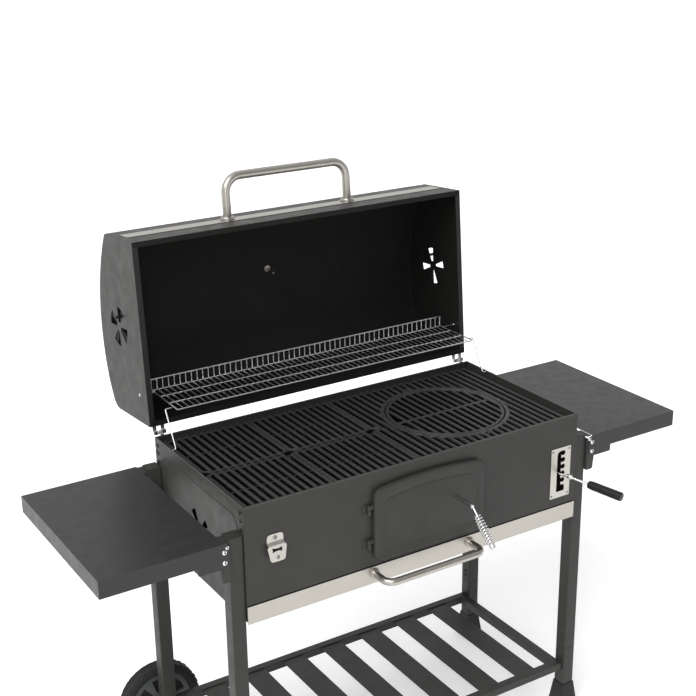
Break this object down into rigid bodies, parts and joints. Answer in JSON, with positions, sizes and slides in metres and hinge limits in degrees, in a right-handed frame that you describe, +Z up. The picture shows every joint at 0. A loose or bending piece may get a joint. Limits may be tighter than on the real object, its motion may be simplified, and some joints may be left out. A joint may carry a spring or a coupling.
{
  "type": "charcoal barbecue trolley",
  "caption": "Wheeled charcoal barbecue with hinged domed lid, cast grates, warming rack, lifting coal tray, ash drawer, coal door, folding side tables and lower shelf.",
  "frame": {"origin": "centre of the box around the whole object, on the ground", "axes": "+X to the right along the firebox as seen from the front, -Y out of the front face, +Z up; lid open, drawer and door shut"},
  "size_m": [1.4802, 0.8516, 1.3336],
  "materials": {
    "painted_sheet": "satin heat-resistant charcoal paint on pressed steel sheet",
    "cast_iron": "matt black enamelled casting",
    "brushed_steel": "brushed stainless, grain along the tube",
    "chrome": "bright plated wire and pressings",
    "coal_steel": "dark coated steel sheet and rod",
    "black_plastic": "matt black moulded plastic",
    "grey_plastic": "light grey moulded plastic",
    "tyre": "matt black treaded rubber-look tread"
  },
  "bodies": {
    "frame": {"leg_front_left": "painted_sheet", "leg_front_right": "painted_sheet", "leg_rear_left": "painted_sheet", "leg_rear_right": "painted_sheet", "foot_front_right": "black_plastic", "foot_rear_right": "black_plastic", "wheel_axle": "chrome", "bottom_shelf": "painted_sheet", "firebox_front": "painted_sheet", "firebox_back": "painted_sheet", "firebox_side_left": "painted_sheet", "firebox_side_right": "painted_sheet", "grate_crossbar": "painted_sheet", "notch_plate": "brushed_steel", "bottle_opener": "brushed_steel", "door_hinge_upper": "painted_sheet", "door_hinge_lower": "painted_sheet", "table_bracket_front_left": "painted_sheet", "table_bracket_front_right": "painted_sheet", "table_bracket_rear_left": "painted_sheet", "table_bracket_rear_right": "painted_sheet", "lid_hinge_base_left": "chrome", "lid_hinge_base_right": "chrome"},
    "lid": {"lid_shell": "painted_sheet", "lid_side_left": "painted_sheet", "lid_side_right": "painted_sheet", "lid_trim_strip": "brushed_steel", "lid_handle": "brushed_steel", "thermometer": "brushed_steel", "lid_hinge_leaf_left": "chrome", "lid_hinge_leaf_right": "chrome"},
    "lid_shutter_left": {"lid_vent_left": "painted_sheet"},
    "lid_shutter_right": {"lid_vent_right": "painted_sheet"},
    "rack": {"warming_rack": "chrome"},
    "rack_legs": {"rack_leg_left": "chrome", "rack_leg_right": "chrome"},
    "shutter_left": {"firebox_vent_left": "painted_sheet"},
    "shutter_right": {"firebox_vent_right": "painted_sheet"},
    "front_wheel": {"tyre_front": "tyre", "wheel_rim_front": "grey_plastic"},
    "rear_wheel": {"tyre_rear": "tyre", "wheel_rim_rear": "grey_plastic"},
    "table_left": {"side_table_left": "painted_sheet"},
    "table_right": {"side_table_right": "painted_sheet"},
    "drawer": {"ash_drawer": "coal_steel", "drawer_front": "brushed_steel", "drawer_handle": "brushed_steel"},
    "door": {"charcoal_door": "painted_sheet", "door_handle_rod": "chrome", "door_handle_spring": "chrome"},
    "lift": {"lift_frame": "coal_steel"},
    "tray": {"charcoal_tray": "coal_steel"},
    "lever": {"lift_lever": "chrome", "lever_grip": "black_plastic"},
    "grate_a": {"grate_front_left": "cast_iron"},
    "grate_b": {"grate_rear_left": "cast_iron"},
    "grate_c": {"grate_front_middle": "cast_iron"},
    "grate_d": {"grate_rear_middle": "cast_iron"},
    "grate_e": {"grate_large": "cast_iron"},
    "ring_insert": {"grate_insert": "cast_iron"}
  },
  "joints": [
    {"name": "lid_hinge", "type": "hinge", "parent": "frame", "child": "lid", "pos_m": [0, 0.1644, 0.801], "axis": [1, 0, 0], "range_deg": [0, 94.4]},
    {"name": "lid_shutter_left_turn", "type": "hinge", "parent": "lid", "child": "lid_shutter_left", "pos_m": [-0.434, 0.30319, 1.01448], "axis": [1, 0, 0], "range_deg": [-20, 6.5]},
    {"name": "lid_shutter_right_turn", "type": "hinge", "parent": "lid", "child": "lid_shutter_right", "pos_m": [0.434, 0.30319, 1.01448], "axis": [1, 0, 0], "range_deg": [-6.5, 20]},
    {"name": "rack_pin", "type": "hinge", "parent": "lid", "child": "rack", "pos_m": [0, 0.2092, 0.88], "axis": [1, 0, 0], "range_deg": [-94.4, 0]},
    {"name": "rack_leg_swing", "type": "hinge", "parent": "frame", "child": "rack_legs", "pos_m": [0, 0.0677, 0.796], "axis": [1, 0, 0], "range_deg": [0, 94.4]},
    {"name": "shutter_left_turn", "type": "hinge", "parent": "frame", "child": "shutter_left", "pos_m": [-0.431, -0.0596, 0.6616], "axis": [1, 0, 0], "range_deg": [-20, 6.5]},
    {"name": "shutter_right_turn", "type": "hinge", "parent": "frame", "child": "shutter_right", "pos_m": [0.431, -0.0596, 0.6616], "axis": [1, 0, 0], "range_deg": [-6.5, 20]},
    {"name": "front_wheel_spin", "type": "hinge", "parent": "frame", "child": "front_wheel", "pos_m": [-0.44905, -0.2986, 0.0992], "axis": [0, 1, 0], "continuous": true},
    {"name": "rear_wheel_spin", "type": "hinge", "parent": "frame", "child": "rear_wheel", "pos_m": [-0.44905, 0.1909, 0.0992], "axis": [0, 1, 0], "continuous": true},
    {"name": "table_left_fold", "type": "hinge", "parent": "frame", "child": "table_left", "pos_m": [-0.4788, -0.0563, 0.6937], "axis": [0, 1, 0], "range_deg": [-90, 0]},
    {"name": "table_right_fold", "type": "hinge", "parent": "frame", "child": "table_right", "pos_m": [0.4788, -0.0563, 0.6937], "axis": [0, 1, 0], "range_deg": [0, 90]},
    {"name": "drawer_slide", "type": "slide", "parent": "frame", "child": "drawer", "axis": [0, -1, 0], "range_m": [0, 0.3]},
    {"name": "door_hinge", "type": "hinge", "parent": "frame", "child": "door", "pos_m": [-0.1428, -0.2741, 0.67], "axis": [0, 0, 1], "range_deg": [-110, 0]},
    {"name": "lift_pivot", "type": "hinge", "parent": "frame", "child": "lift", "pos_m": [0, 0.1169, 0.6596], "axis": [1, 0, 0], "range_deg": [-7.2, 5]},
    {"name": "tray_lift", "type": "slide", "parent": "frame", "child": "tray", "axis": [0, 0, 1], "range_m": [-0.0155, 0.0223]},
    {"name": "lever_swing", "type": "hinge", "parent": "lift", "child": "lever", "pos_m": [0.36675, -0.2181, 0.6596], "axis": [0, 0, 1], "range_deg": [0, 9.5]},
    {"name": "front_left_grate_lift", "type": "slide", "parent": "frame", "child": "grate_a", "axis": [0, 0, 1], "range_m": [0, 0.045]},
    {"name": "rear_left_grate_lift", "type": "slide", "parent": "frame", "child": "grate_b", "axis": [0, 0, 1], "range_m": [0, 0.045]},
    {"name": "front_middle_grate_lift", "type": "slide", "parent": "frame", "child": "grate_c", "axis": [0, 0, 1], "range_m": [0, 0.045]},
    {"name": "rear_middle_grate_lift", "type": "slide", "parent": "frame", "child": "grate_d", "axis": [0, 0, 1], "range_m": [0, 0.045]},
    {"name": "large_grate_lift", "type": "slide", "parent": "frame", "child": "grate_e", "axis": [0, 0, 1], "range_m": [0, 0.045]},
    {"name": "ring_insert_lift", "type": "slide", "parent": "grate_e", "child": "ring_insert", "axis": [0, 0, 1], "range_m": [0, 0.045]}
  ],
  "couplings": [
    {"joint": "rack_pin", "follows": "lid_hinge", "ratio": -1},
    {"joint": "rack_leg_swing", "follows": "lid_hinge", "ratio": 1},
    {"joint": "tray_lift", "follows": "lift_pivot", "m_per_rad": -0.1765}
  ]
}
